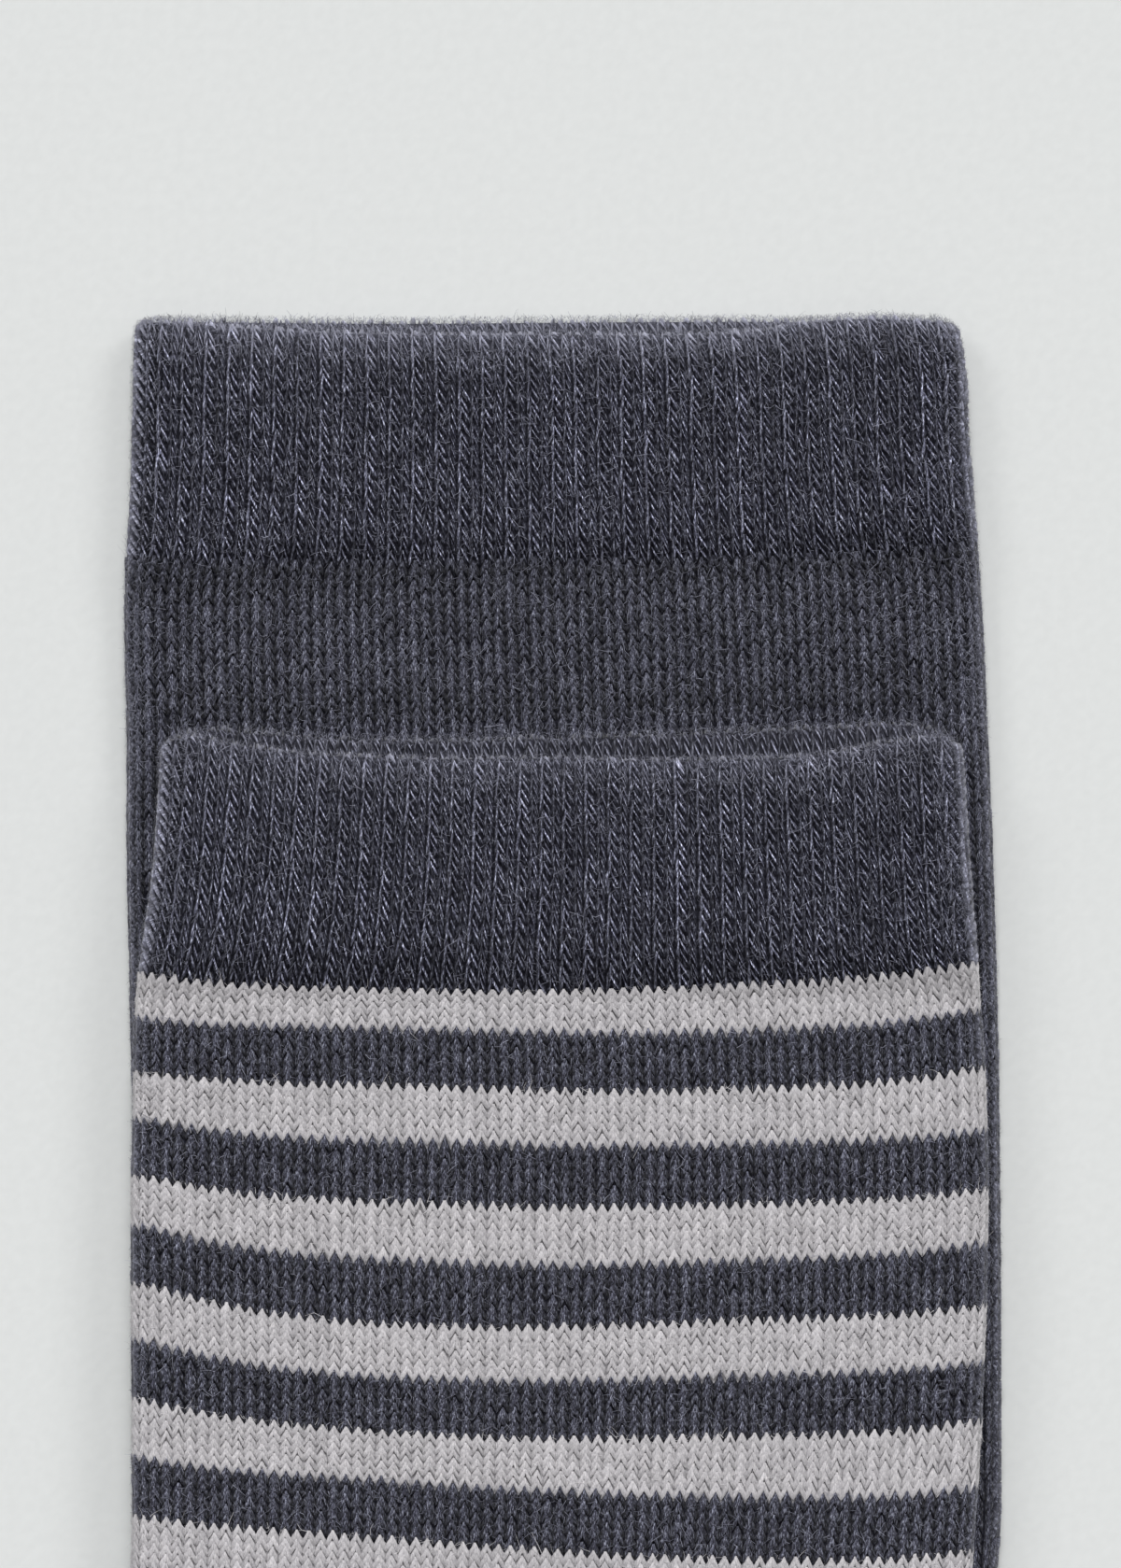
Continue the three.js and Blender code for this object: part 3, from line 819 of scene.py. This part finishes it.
def make_stitches(name, sock, lattice, stitches, material, legs=FINE_LEGS):
    """One mesh of stitches. stitches has arrays: column, wide, row, tall, bold."""
    random = np.random.default_rng(sock.seed + len(name))
    count = len(stitches["column"])
    column, row = stitches["column"][:, None], stitches["row"][:, None]
    wide, tall, bold = (stitches[key][:, None] for key in ("wide", "tall", "bold"))
    light = is_light(sock, column + 0.5 * wide, row + 0.5 * tall)
    # Loose fibres and painted sheen over the stitch, most at the rim and the folded sides
    fuzz_and_sheen = fuzz_and_sheen_at(sock, column + 0.5 * wide, row + 0.5 * tall)
    fuzz_and_sheen = fuzz_and_sheen * random.uniform(*FUZZ_AND_SHEEN_VARIES, (count, 1))
    in_cuff = row < 0

    def look(values):
        cuff, dark, pale = values
        return np.where(in_cuff, cuff, dark + (pale - dark) * light)

    def vary(spread):
        return random.normal(0, 1, (count, 1)) * spread

    uneven, merged, depth = look(UNEVEN), look(MERGED), look(LEG_DEPTH)
    edges_darken, ends_darken = look(EDGES_DARKEN), look(ENDS_DARKEN)
    crest_shade, inner_shade, outer_shade = look(CREST_SHADE), look(INNER_SHADE), look(OUTER_SHADE)
    streak = random.normal(0, 1, COLUMNS)[column.astype(int) % COLUMNS]
    on_rim = np.exp(-(((row + CUFF_ROWS + RIM_MIDDLE) * CUFF_ROW / RIM_REACH) ** 2))
    # Random tone of each stitch and column, and painted shade that darkens the rim's stitches where the
    # rounding catches the light
    tone_and_rim_shade = (1 + (vary(1) + COLUMN_STREAK * streak) * uneven) * (1 - sock.rim_painted_shade * on_rim)
    drop = vary(look(DROP_SPREAD) + RIM_DROP * on_rim)
    points, uv, tone = [], [], []
    for stations, shades, weak_shade, (pivot, slant) in zip(
        legs, (LEFT_SHADE, RIGHT_SHADE), WEAK_SHADES, CUFF_SLANTS
    ):
        x, y, height, shade = [], [], [], []
        lean = vary(look(LEAN_SPREAD))
        swell = (1 + vary(SWELL_SPREAD)) * look(LEG_WIDTH)
        raised = vary(RAISED_SPREAD + RIM_RAISE * on_rim)
        for station, down, half_width, crest in stations:
            place = pivot + (station - pivot) * np.where(in_cuff, slant, 1)
            from_middle = abs(2 * place - 1)
            for side in (-1, 0, 1) if half_width else (0,):
                faces_middle = side * (0.5 - station) > 0
                spread = side * half_width * swell * (1 + INNER_SWELL * merged * faces_middle)
                x.append(0.5 + (place - 0.5 + lean + spread) * bold)
                y.append(down + drop)
                level = crest + merged * (RIDGE_HEIGHT - crest) if half_width else crest * depth
                top = level * bold + BOLD_RISE * (bold - 1) + raised
                flank = FLANK_HEIGHT * depth
                flank = flank + (top - RIDGE_GROOVE - flank) * merged * faces_middle
                height.append(flank if side else top)
                # Painted light and shade: crest lighter, sides darker, and darker towards a column's edges
                # and a leg's ends
                painted_shade = crest_shade if side == 0 else inner_shade if faces_middle else outer_shade
                across_column = 1 + edges_darken * (LIGHT_MIDDLE - from_middle)
                down_leg = 1 - ends_darken * (down - LEG_MIDDLE) ** 2
                shade.append(across_column * down_leg * painted_shade)
        x, y, height, shade = (np.concatenate(part, axis=1) for part in (x, y, height, shade))
        points.append(lattice.at(column + x * wide, row + y * tall, height).reshape(-1, 3))
        start = random.uniform(0, YARN_RANGE, (count, 2))
        uv.append(np.stack([y * ROW + start[:, :1], x * COLUMN + start[:, 1:]], axis=-1).reshape(-1, 2))
        # Painted light: one leg lighter than the other, and the weak columns' legs darker
        strength = np.where(in_cuff & (bold <= 1), weak_shade, look(shades))
        shade = shade * tone_and_rim_shade * strength * (1 + vary(uneven))
        # Fuzz and painted sheen even out the stitches' painted light and shade
        evened = np.minimum(fuzz_and_sheen, 1) * np.where(shade > FUZZ_AND_SHEEN_SHADE, FUZZ_AND_SHEEN_DIMS, FUZZ_AND_SHEEN_LIFTS)
        shade += (FUZZ_AND_SHEEN_SHADE - shade) * evened
        tone.append(np.stack(np.broadcast_arrays(light, shade, fuzz_and_sheen), axis=-1).reshape(-1, 3))
    leg_points, quads, triangles = leg_faces(len(legs[0]))
    first = np.arange(2 * count)[:, None, None] * leg_points
    faces = [(first + corners[None]).reshape(-1, corners.shape[1]) for corners in (quads, triangles)]
    points, uv, tone = (np.concatenate(part) for part in (points, uv, tone))
    points[:, 2] = np.maximum(points[:, 2], LOWEST)
    mesh = make_mesh(name, in_frame(points), faces, material, uv=uv, uv_name="Yarn", tone=tone)
    return dress(mesh)


def stitch_grid(columns, rows, tall=1.0, wide=1.0, bold=1.0):
    """Stitches on every crossing of some columns and rows."""
    column, row = (part.ravel() for part in np.meshgrid(columns, rows, indexing="ij"))
    index = np.repeat(np.arange(len(columns)), len(rows))
    return {
        "column": column.astype(float),
        "wide": np.full(len(column), float(wide)),
        "row": row.astype(float),
        "tall": np.full(len(column), float(tall)),
        "bold": np.broadcast_to(bold, len(columns))[index].astype(float),
    }


def join(*sets):
    return {key: np.concatenate([part[key] for part in sets]) for key in sets[0]}


def only(stitches, keep):
    return {key: values[keep] for key, values in stitches.items()}


def cuff_stitches():
    """The cuff's mock rib: a strong column and a weak one in turn, from inside the mouth to the cuff's end.
    A weak column's rows lie lower, apart from its last ones, which meet the leg's first row."""
    bold = np.where(UPPER_COLUMNS % 2 == 0, STRONG_RIB, WEAK_RIB)
    outer = stitch_grid(UPPER_COLUMNS, np.arange(-CUFF_ROWS, 0), bold=bold)
    shifted = np.clip(-outer["row"] / 3 - 0.34, 0, 1)
    outer["row"] = outer["row"] + np.where(outer["bold"] < 1, RIB_SHIFT, 0) * shifted
    inner = stitch_grid(np.arange(COLUMNS), np.arange(-CUFF_ROWS - INNER_ROWS, -CUFF_ROWS), bold=INNER_RIB)
    return join(outer, inner)


def body_stitches():
    """Leg, ankle and foot, with a heel pocket that has rows of its own."""
    rows = np.arange(TOE_ROW)
    instep = UPPER_COLUMNS[UPPER_COLUMNS < HEEL_COLUMN]
    heel_side = UPPER_COLUMNS[UPPER_COLUMNS >= HEEL_COLUMN]
    in_ankle = (rows >= LEG_ROWS) & (rows < LEG_ROWS + ANKLE_ROWS)
    heel_rows = LEG_ROWS + np.linspace(0, ANKLE_ROWS, HEEL_ROWS, endpoint=False)
    return join(
        stitch_grid(instep, rows),
        stitch_grid(heel_side, rows[~in_ankle]),
        stitch_grid(heel_side, heel_rows, tall=ANKLE_ROWS / HEEL_ROWS),
    )


def toe_stitches(sock):
    """The toe pocket: straight columns that end at the toe's outline, and columns round its folded side."""
    rows = np.arange(TOE_ROW, LAST_ROW - TIP_ROWS)
    along = row_line(sock, rows, 0)
    front, back, half, _ = section_sizes(sock, along, np.zeros(len(rows)))
    folds = np.concatenate([np.arange(-FOLD_COLUMNS, 0), np.arange(FOLD_COLUMNS) + FACE_COLUMNS])
    sets = [stitch_grid(folds, rows)]
    for row, width in zip(rows, front + back - 2 * half):
        edges = np.arange(-FACE_COLUMNS / 2, FACE_COLUMNS / 2) * TOE_COLUMN
        edges = edges[(edges > -width / 2) & (edges + TOE_COLUMN < width / 2)]
        if len(edges):
            columns = (edges / width + 0.5) * FACE_COLUMNS
            sets.append(stitch_grid(columns, [row], wide=TOE_COLUMN / width * FACE_COLUMNS))
    return join(*sets)


# Fuzz


def make_fuzz(name, sock, lattice, spans, material):
    """Fine loose fibres as bent ribbons over the cloth. A span is a count, columns, rows, length and lift."""
    random = np.random.default_rng(sock.seed + 7 * len(name))
    column = np.concatenate([random.uniform(*span[1], span[0]) for span in spans])
    row = np.concatenate([random.uniform(*span[2], span[0]) for span in spans])
    length = np.concatenate([np.full(span[0], span[3]) for span in spans])
    lift = np.concatenate([np.full(span[0], span[4]) for span in spans])
    count = len(column)
    size = length * random.lognormal(0, FIBRE_LENGTH_SPREAD, count)
    rise = lift * random.uniform(*FIBRE_LIFTS, count)
    width = random.uniform(*FIBRE_WIDTHS, count)
    direction = random.normal(math.pi / 2, FIBRE_TURN_SPREAD, count) + math.pi * random.integers(0, 2, count)
    curl = random.normal(0, FIBRE_TURN_SPREAD, count)
    place = lattice.at(column, row, np.full(count, FIBRE_ROOT))
    normal = lattice.at(column, row, np.full(count, FIBRE_ROOT + 1)) - place
    across = np.cross(normal, np.array([0.0, 1.0, 0.2]))
    across /= np.linalg.norm(across, axis=1, keepdims=True)
    down = np.cross(across, normal)
    arch_start, arch_sweep = FIBRE_ARCH
    ends = []
    for link in range(FIBRE_LINKS + 1):
        t = link / FIBRE_LINKS
        angle = direction + curl * (t - 0.5)
        step = across * np.cos(angle)[:, None] + down * np.sin(angle)[:, None]
        if link:
            place = place + step * (size / FIBRE_LINKS)[:, None]
        centre = place + normal * (rise * math.sin(arch_start + arch_sweep * t))[:, None]
        aside = np.cross(step, normal) * (width * (1 - FIBRE_TAPER * t) / 2)[:, None]
        ends += [centre - aside, centre + aside]
    points = np.stack(ends, axis=1).reshape(-1, 3)
    points[:, 2] = np.maximum(points[:, 2], LOWEST)
    corners = 2 * (FIBRE_LINKS + 1)
    link = 2 * np.arange(FIBRE_LINKS)[:, None] + np.array([0, 1, 3, 2])
    quads = (np.arange(count)[:, None, None] * corners + link[None]).reshape(-1, 4)
    light = is_light(sock, column, row)
    fuzz_and_sheen = random.uniform(*FIBRE_HAZE, count)
    shade = random.normal(1.0, FIBRE_SHADE_SPREAD, count)
    tone = np.repeat(np.stack([light, shade, fuzz_and_sheen], axis=1), corners, axis=0)
    uv = np.repeat(random.uniform(0, YARN_RANGE, (count, 2)), corners, axis=0)
    mesh = make_mesh(name, in_frame(points), [quads], material, uv=uv, uv_name="Yarn", tone=tone)
    return dress(mesh)


# Materials


def new_material(name, roughness, specular):
    material = bpy.data.materials.new(name)
    material.use_nodes = True
    tree = material.node_tree
    tree.nodes.clear()
    output = tree.nodes.new("ShaderNodeOutputMaterial")
    shader = tree.nodes.new("ShaderNodeBsdfPrincipled")
    shader.inputs["Roughness"].default_value = roughness
    shader.inputs["Specular IOR Level"].default_value = specular
    tree.links.new(shader.outputs["BSDF"], output.inputs["Surface"])
    return material, tree, shader


def srgb(*levels):
    """Linear colour from display levels of 0 to 255."""
    return tuple(((level / 255 + 0.055) / 1.055) ** 2.4 for level in levels) + (1.0,)


def add(tree, kind, inputs, **settings):
    """A node with its settings and its inputs, each a value or another node's output."""
    node = tree.nodes.new(kind)
    for key, value in settings.items():
        setattr(node, key, value)
    for key, value in inputs.items():
        if isinstance(value, bpy.types.NodeSocket):
            tree.links.new(value, node.inputs[key])
        else:
            node.inputs[key].default_value = value
    return node


def noise(tree, vector, scale, detail=2.0, roughness=0.6, stretch=(1, 1, 1)):
    moved = add(tree, "ShaderNodeMapping", {"Vector": vector, "Scale": stretch}).outputs[0]
    inputs = {"Vector": moved, "Scale": scale, "Detail": detail, "Roughness": roughness}
    return add(tree, "ShaderNodeTexNoise", inputs).outputs["Fac"]


def ramp(tree, factor, stops):
    node = add(tree, "ShaderNodeValToRGB", {"Fac": factor})
    elements = node.color_ramp.elements
    while len(elements) < len(stops):
        elements.new(0.5)
    for element, (position, colour) in zip(elements, stops):
        element.position = position
        element.color = srgb(*colour)
    return node.outputs["Color"]


def calc(tree, operation, a, b=0.0, c=0.0):
    return add(tree, "ShaderNodeMath", {0: a, 1: b, 2: c}, operation=operation).outputs[0]


def mix(tree, factor, a, b, blend="MIX"):
    inputs = {0: factor, 6: a, 7: b}
    return add(tree, "ShaderNodeMix", inputs, data_type="RGBA", blend_type=blend).outputs[2]


def read_tone(tree):
    """The three channels of the Tone attribute."""
    tone = add(tree, "ShaderNodeAttribute", {}, attribute_name="Tone").outputs["Color"]
    return add(tree, "ShaderNodeSeparateColor", {"Color": tone}).outputs


def heather_colours(tree, heather, light):
    return mix(tree, light, ramp(tree, heather, DARK_YARN), ramp(tree, heather, LIGHT_YARN))


def fuzz_and_sheen_colours(tree, light):
    return mix(tree, light, srgb(*DARK_FUZZ_AND_SHEEN), srgb(*LIGHT_FUZZ_AND_SHEEN))


def yarn_material():
    """Heathered yarn: fibres of mixed shades that run along each leg of a stitch.
    Tone's channels are the light dye, the shade, which is painted light and shade on the stitches, and the
    haze of loose fibres and painted sheen."""
    material, tree, shader = new_material("heather_yarn", 0.92, 0.2)
    along_yarn = add(tree, "ShaderNodeUVMap", {}, uv_map="Yarn").outputs[0]
    place = add(tree, "ShaderNodeTexCoord", {}).outputs["Object"]
    light, shade, fuzz_and_sheen = read_tone(tree)[:3]
    fibres = noise(tree, along_yarn, 1.0, detail=2.5, roughness=0.65, stretch=(2.2, 8, 1))
    patches = noise(tree, place, 400, detail=1.0)
    heather = calc(tree, "MULTIPLY_ADD", fibres, 1.9, calc(tree, "MULTIPLY_ADD", patches, 0.2, -0.55))
    colour = heather_colours(tree, heather, light)
    # Loose fibres and painted sheen mix the pale fuzz colour in
    fuzz_and_sheen_mix = calc(tree, "MULTIPLY", fuzz_and_sheen, calc(tree, "MULTIPLY_ADD", fibres, 2.4, -0.2))
    colour = mix(tree, fuzz_and_sheen_mix, colour, fuzz_and_sheen_colours(tree, light))
    # The stitches' painted light and shade, and each fibre's own shade, multiply the colour
    grey = add(tree, "ShaderNodeCombineColor", {0: shade, 1: shade, 2: shade}).outputs[0]
    colour = mix(tree, 1.0, colour, grey, "MULTIPLY")
    tree.links.new(colour, shader.inputs["Base Color"])
    shader.inputs["Sheen Weight"].default_value = 0.25
    shader.inputs["Sheen Roughness"].default_value = 0.5
    bump = add(tree, "ShaderNodeBump", {"Height": fibres, "Strength": 0.6, "Distance": 0.0002})
    tree.links.new(bump.outputs[0], shader.inputs["Normal"])
    return material


def backing_material(sock):
    """The knit behind the stitches, with its rows and columns drawn from the cloth's own coordinates.
    Tone's first channel marks the dark heel and toe, and its third the haze of loose fibres and painted
    sheen."""
    material, tree, shader = new_material(f"{sock.node}_backing", 0.95, 0.15)
    knit = add(tree, "ShaderNodeSeparateXYZ", {0: add(tree, "ShaderNodeUVMap", {}, uv_map="Knit").outputs[0]})
    column, row = knit.outputs[0], knit.outputs[1]
    place = add(tree, "ShaderNodeTexCoord", {}).outputs["Object"]
    beside = calc(tree, "ABSOLUTE", calc(tree, "SUBTRACT", calc(tree, "FRACT", column), 0.5))
    slanted = calc(tree, "SUBTRACT", row, calc(tree, "MULTIPLY", beside, 1.8))
    ridge = calc(tree, "ABSOLUTE", calc(tree, "SINE", calc(tree, "MULTIPLY", slanted, math.pi)))
    valley = calc(tree, "MULTIPLY", ridge, calc(tree, "SINE", calc(tree, "MULTIPLY", beside, math.tau)))
    # Painted shade: the knit's ridges are painted lighter and its hollows darker, in the same pattern as the
    # bump
    heather = calc(tree, "MULTIPLY_ADD", valley, 0.3, calc(tree, "MULTIPLY", noise(tree, place, 2600), 0.7))
    past = calc(tree, "DIVIDE", calc(tree, "SUBTRACT", slanted, FIRST_STRIPE_ROWS), STRIPE_ROWS)
    odd = calc(tree, "FLOORED_MODULO", calc(tree, "FLOOR", past), 2.0)
    below_cuff = calc(tree, "MULTIPLY", calc(tree, "GREATER_THAN", slanted, 0.0), float(sock.striped))
    dark_part, _, fuzz_and_sheen = read_tone(tree)[:3]
    light = calc(tree, "MULTIPLY", odd, below_cuff)
    light = calc(tree, "MULTIPLY", light, calc(tree, "SUBTRACT", 1.0, dark_part))
    # Painted shade of the backing between the stitches, darker under dark rows and a little lighter under
    # light rows
    shade = mix(tree, light, (DARK_BACKING,) * 3 + (1,), (LIGHT_BACKING,) * 3 + (1,))
    colour = mix(tree, 1.0, heather_colours(tree, heather, light), shade, "MULTIPLY")
    # Loose fibres and painted sheen lighten the backing
    fuzz_and_sheen_mix = calc(tree, "MULTIPLY", fuzz_and_sheen, BACKING_FUZZ_AND_SHEEN)
    colour = mix(tree, fuzz_and_sheen_mix, colour, fuzz_and_sheen_colours(tree, light))
    tree.links.new(colour, shader.inputs["Base Color"])
    bump = add(tree, "ShaderNodeBump", {"Height": valley, "Strength": 0.8, "Distance": 0.0004})
    tree.links.new(bump.outputs[0], shader.inputs["Normal"])
    return material


def floor_material():
    material, tree, shader = new_material("pale_floor", 0.8, 0.1)
    place = add(tree, "ShaderNodeTexCoord", {}).outputs["Object"]
    colour = ramp(tree, noise(tree, place, 900), FLOOR_COLOURS)
    tree.links.new(colour, shader.inputs["Base Color"])
    return material


# The socks


def shows_beside(outline, lattice, stitches):
    """Which stitches are not covered by the upper sock."""
    middle = lattice.at(stitches["column"] + 0.5, stitches["row"] + 0.5, np.zeros(len(stitches["row"])))
    return distance_outside(outline, middle[:, 0], middle[:, 1]) > 0


def face_spans(count, long_count, rows):
    """Fibres all over the upper side, and a few long ones."""
    return [(count, SIDE_SPAN, rows, 0.8, 0.14), (long_count, SIDE_SPAN, rows, 2, 0.3)]


def rim_spans(count, lift):
    """Fibres along both walls' rims at the mouth, and fewer just below the front one."""
    near = (-CUFF_ROWS - 1.2, -CUFF_ROWS + 1.2)
    below = (-CUFF_ROWS + 0.5, -CUFF_ROWS + 3.5)
    return [(count, (0, COLUMNS), near, 0.7, lift), (count // 3, SIDE_SPAN, below, 0.6, 0.15)]


def side_spans(count, rows):
    """Fibres round both folded sides."""
    left, right = (-SIDE_COLUMNS, 0.5), (FACE_COLUMNS - 0.5, HALF_COLUMNS)
    return [(count, columns, rows, 0.7, 0.2) for columns in (left, right)]


def dress_striped(yarn):
    lattice = Lattice(STRIPED)
    cloth = make_backing(STRIPED, backing_material(STRIPED))
    body = body_stitches()
    splits = (0, PHOTO_ROWS, COARSE_ROW, TOE_ROW)
    names = ("leg", "ankle", "foot")
    pieces = [make_stitches("striped_cuff_stitches", STRIPED, lattice, cuff_stitches(), yarn)]
    for name, low, high in zip(names, splits[:-1], splits[1:]):
        part = only(body, (body["row"] >= low) & (body["row"] < high))
        legs = FINE_LEGS if name == "leg" else COARSE_LEGS
        pieces.append(make_stitches(f"striped_{name}_stitches", STRIPED, lattice, part, yarn, legs))
    toe = toe_stitches(STRIPED)
    pieces.append(make_stitches("striped_toe_stitches", STRIPED, lattice, toe, yarn, COARSE_LEGS))
    spans = face_spans(19000, 120, (-CUFF_ROWS, PHOTO_ROWS))
    spans += rim_spans(3600, 0.2) + side_spans(1300, (-CUFF_ROWS, 0)) + side_spans(1500, (0, PHOTO_ROWS))
    pieces.append(make_fuzz("striped_fuzz", STRIPED, lattice, spans, yarn))
    spans = [(6000, SIDE_SPAN, (PHOTO_ROWS, LAST_ROW - TIP_ROWS - 1), 1.2, 0.15)]
    pieces.append(make_fuzz("striped_foot_fuzz", STRIPED, lattice, spans, yarn))
    return cloth, pieces


def dress_plain(yarn):
    lattice = Lattice(PLAIN)
    cloth = make_backing(PLAIN, backing_material(PLAIN))
    body = body_stitches()
    body = only(body, (body["row"] < MOUTH_ROW + 2) | shows_beside(STRIPED_OUTLINE, lattice, body))
    leg = only(body, body["row"] < PHOTO_ROWS)
    foot = only(body, body["row"] >= PHOTO_ROWS)
    toe = toe_stitches(PLAIN)
    toe = only(toe, shows_beside(STRIPED_OUTLINE, lattice, toe))
    pieces = [
        make_stitches("plain_cuff_stitches", PLAIN, lattice, cuff_stitches(), yarn),
        make_stitches("plain_leg_stitches", PLAIN, lattice, leg, yarn),
        make_stitches("plain_foot_stitches", PLAIN, lattice, join(foot, toe), yarn, COARSE_LEGS),
    ]
    spans = face_spans(10000, 60, (-CUFF_ROWS, MOUTH_ROW)) + rim_spans(6000, 0.3)
    spans += side_spans(1500, (-CUFF_ROWS, MOUTH_ROW - 2)) + side_spans(900, (MOUTH_ROW - 2, PHOTO_ROWS))
    pieces.append(make_fuzz("plain_fuzz", PLAIN, lattice, spans, yarn))
    return cloth, pieces


# Room, light and camera


def make_floor():
    corners = [(-1, -1), (1, -1), (1, 1), (-1, 1)]
    points = np.array([(FLOOR_HALF * x, FLOOR_HALF * y, 0) for x, y in corners])
    make_mesh("floor", points, [np.array([[0, 1, 2, 3]])], floor_material())


def make_sun(name, azimuth, elevation, strength):
    """A soft, far light. Azimuths are in degrees from +X towards +Y."""
    lamp = bpy.data.lights.new(name, "SUN")
    lamp.angle = math.radians(SUN_ANGLE)
    lamp.energy = strength
    light = bpy.data.objects.new(name, lamp)
    light.rotation_euler = (math.radians(90 - elevation), 0, math.radians(azimuth + 90))
    bpy.context.scene.collection.objects.link(light)


def make_camera():
    data = bpy.data.cameras.new("camera")
    data.sensor_fit = "AUTO"
    data.sensor_width = SENSOR
    data.lens = data.sensor_width * (CAMERA_HEIGHT - CLOTH_HEIGHT) / PHOTO_TALL
    data.clip_start, data.clip_end = CLIP
    camera = bpy.data.objects.new("camera", data)
    camera.location = (SHIFT[0], SHIFT[1], CAMERA_HEIGHT * MM)
    bpy.context.scene.collection.objects.link(camera)
    bpy.context.scene.camera = camera


def make_world():
    world = bpy.data.worlds.new("studio")
    world.use_nodes = True
    background = world.node_tree.nodes["Background"].inputs
    background["Color"].default_value = WORLD_COLOUR
    background["Strength"].default_value = WORLD_STRENGTH
    bpy.context.scene.world = world
    bpy.context.scene.view_settings.view_transform = "Standard"


make_camera()
make_floor()
make_world()
for name, azimuth, elevation, strength in SUNS:
    make_sun(name, azimuth, elevation, strength)

shared_yarn = yarn_material()
plain_cloth, plain_pieces = dress_plain(shared_yarn)
striped_cloth, striped_pieces = dress_striped(shared_yarn)
